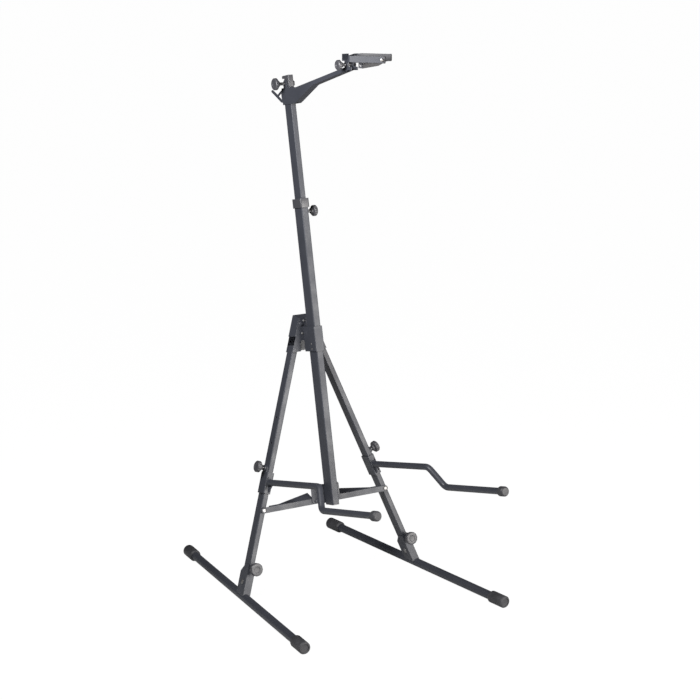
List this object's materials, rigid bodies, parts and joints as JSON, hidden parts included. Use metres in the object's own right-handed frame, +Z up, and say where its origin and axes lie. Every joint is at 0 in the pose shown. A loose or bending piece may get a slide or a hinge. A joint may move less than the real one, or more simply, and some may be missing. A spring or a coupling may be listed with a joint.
{
  "type": "instrument stand",
  "caption": "Tall folding instrument stand: leaning post with telescopic mast and padded neck yoke, spread legs on folding foot bars, cranked body support arms and a bow hook.",
  "frame": {"origin": "middle of the footprint, on the floor", "axes": "+Z up, -Y towards the front, where the instrument stands, +X to the stand's left seen from the front"},
  "size_m": [0.621, 0.9254, 1.401],
  "materials": {
    "powder_coat": "satin black powder coat",
    "rubber": "soft matt",
    "plastic": "matt moulded",
    "zinc": "zinc plated",
    "black_steel": "blackened steel"
  },
  "bodies": {
    "post": {"post_tube": "powder_coat", "post_foot_plug": "plastic", "post_collar": "plastic", "mast_knob_nut": "powder_coat", "brace_bracket": "powder_coat", "bracket_bolts": "powder_coat"},
    "hub": {"hub_bracket": "powder_coat", "hub_sleeve": "powder_coat", "hub_glides": "plastic", "hub_rivets": "zinc", "leg_pivot_bolts": "powder_coat"},
    "mast": {"mast_tube": "powder_coat", "mast_top_plug": "plastic"},
    "mast_knob": {"mast_knob": "plastic", "mast_knob_screw": "black_steel"},
    "head": {"head_arm": "powder_coat", "bow_hook": "powder_coat"},
    "head_knob": {"head_knob": "plastic", "head_knob_screw": "black_steel"},
    "yoke_bracket": {"yoke_bracket": "powder_coat"},
    "yoke_knob": {"yoke_knob": "plastic", "yoke_knob_screw": "black_steel"},
    "yoke": {"yoke_fork": "powder_coat", "yoke_pads": "rubber", "yoke_strap": "rubber", "yoke_strap_studs": "zinc"},
    "left_leg": {"left_leg": "powder_coat"},
    "left_brace": {"left_brace": "powder_coat", "left_brace_bolt": "zinc"},
    "left_arm_clamp": {"left_arm_clamp": "powder_coat", "left_arm": "powder_coat", "left_arm_cap": "rubber"},
    "left_arm_knob": {"left_arm_knob": "plastic", "left_arm_knob_screw": "black_steel"},
    "left_foot": {"left_foot_bar": "powder_coat", "left_foot_bracket": "powder_coat", "left_foot_caps": "rubber", "left_foot_pivot": "zinc"},
    "left_foot_knob": {"left_foot_knob": "plastic", "left_foot_knob_screw": "black_steel"},
    "right_leg": {"right_leg": "powder_coat"},
    "right_brace": {"right_brace": "powder_coat", "right_brace_bolt": "zinc"},
    "right_arm_clamp": {"right_arm_clamp": "powder_coat", "right_arm": "powder_coat", "right_arm_cap": "rubber"},
    "right_arm_knob": {"right_arm_knob": "plastic", "right_arm_knob_screw": "black_steel"},
    "right_foot": {"right_foot_bar": "powder_coat", "right_foot_bracket": "powder_coat", "right_foot_caps": "rubber", "right_foot_pivot": "zinc"},
    "right_foot_knob": {"right_foot_knob": "plastic", "right_foot_knob_screw": "black_steel"}
  },
  "joints": [
    {"name": "hub_slide", "type": "slide", "parent": "post", "child": "hub", "axis": [0, 0.2023, 0.9793], "range_m": [0, 0.18171]},
    {"name": "left_leg_fold", "type": "hinge", "parent": "hub", "child": "left_leg", "pos_m": [-0.01749, 0.20796, 0.68114], "axis": [0, -0.9793, 0.2023], "range_deg": [0, 15.32]},
    {"name": "left_brace_fold", "type": "hinge", "parent": "post", "child": "left_brace", "pos_m": [-0.0284, 0.09332, 0.22796], "axis": [0, 0.9793, -0.2023], "range_deg": [0, 80.02]},
    {"name": "left_arm_height", "type": "slide", "parent": "left_leg", "child": "left_arm_clamp", "axis": [0.3374, 0.1904, 0.9219], "range_m": [-0.03, 0.138]},
    {"name": "left_arm_knob_turn", "type": "hinge", "parent": "left_arm_clamp", "child": "left_arm_knob", "pos_m": [-0.16781, 0.13571, 0.33134], "axis": [-0.9414, 0.0682, 0.3304], "continuous": true},
    {"name": "left_foot_fold", "type": "hinge", "parent": "left_leg", "child": "left_foot", "pos_m": [-0.24868, 0.07747, 0.0494], "axis": [0.9414, -0.0682, -0.3304], "range_deg": [0, 76]},
    {"name": "left_foot_knob_turn", "type": "hinge", "parent": "left_foot", "child": "left_foot_knob", "pos_m": [-0.2362, 0.05416, 0.08978], "axis": [0, -0.9793, 0.2023], "continuous": true},
    {"name": "right_leg_fold", "type": "hinge", "parent": "hub", "child": "right_leg", "pos_m": [0.01749, 0.20796, 0.68114], "axis": [0, 0.9793, -0.2023], "range_deg": [0, 15.32]},
    {"name": "right_brace_fold", "type": "hinge", "parent": "post", "child": "right_brace", "pos_m": [0.0284, 0.09332, 0.22796], "axis": [0, -0.9793, 0.2023], "range_deg": [0, 80.02]},
    {"name": "right_arm_height", "type": "slide", "parent": "right_leg", "child": "right_arm_clamp", "axis": [-0.3374, 0.1904, 0.9219], "range_m": [-0.03, 0.138]},
    {"name": "right_arm_knob_turn", "type": "hinge", "parent": "right_arm_clamp", "child": "right_arm_knob", "pos_m": [0.16781, 0.13571, 0.33134], "axis": [0.9414, 0.0682, 0.3304], "continuous": true},
    {"name": "right_foot_fold", "type": "hinge", "parent": "right_leg", "child": "right_foot", "pos_m": [0.24868, 0.07747, 0.0494], "axis": [0.9414, 0.0682, 0.3304], "range_deg": [0, 76]},
    {"name": "right_foot_knob_turn", "type": "hinge", "parent": "right_foot", "child": "right_foot_knob", "pos_m": [0.2362, 0.05416, 0.08978], "axis": [0, -0.9793, 0.2023], "continuous": true},
    {"name": "mast_slide", "type": "slide", "parent": "post", "child": "mast", "axis": [0, 0.2023, 0.9793], "range_m": [-0.21, 0.2]},
    {"name": "mast_knob_turn", "type": "hinge", "parent": "post", "child": "mast_knob", "pos_m": [0.026, 0.21384, 0.97707], "axis": [1, 0, 0], "continuous": true},
    {"name": "head_tilt", "type": "hinge", "parent": "mast", "child": "head", "pos_m": [0, 0.28011, 1.30239], "axis": [1, 0, 0], "range_deg": [-75, 20]},
    {"name": "head_knob_turn", "type": "hinge", "parent": "head", "child": "head_knob", "pos_m": [-0.028, 0.28011, 1.30239], "axis": [-1, 0, 0], "continuous": true},
    {"name": "yoke_tilt", "type": "hinge", "parent": "head", "child": "yoke_bracket", "pos_m": [0, -0.02666, 1.37443], "axis": [1, 0, 0], "range_deg": [-25, 15]},
    {"name": "yoke_knob_turn", "type": "hinge", "parent": "head", "child": "yoke_knob", "pos_m": [-0.02, -0.02666, 1.37443], "axis": [-1, 0, 0], "continuous": true},
    {"name": "yoke_swivel", "type": "hinge", "parent": "yoke_bracket", "child": "yoke", "pos_m": [0, -0.05003, 1.38488], "axis": [0, -0.0058, 1], "range_deg": [-45, 15]}
  ],
  "couplings": [
    {"joint": "left_leg_fold", "follows": "hub_slide", "rad_per_m": 1.471},
    {"joint": "left_brace_fold", "follows": "hub_slide", "rad_per_m": 7.6841},
    {"joint": "right_leg_fold", "follows": "hub_slide", "rad_per_m": 1.471},
    {"joint": "right_brace_fold", "follows": "hub_slide", "rad_per_m": 7.6841}
  ]
}
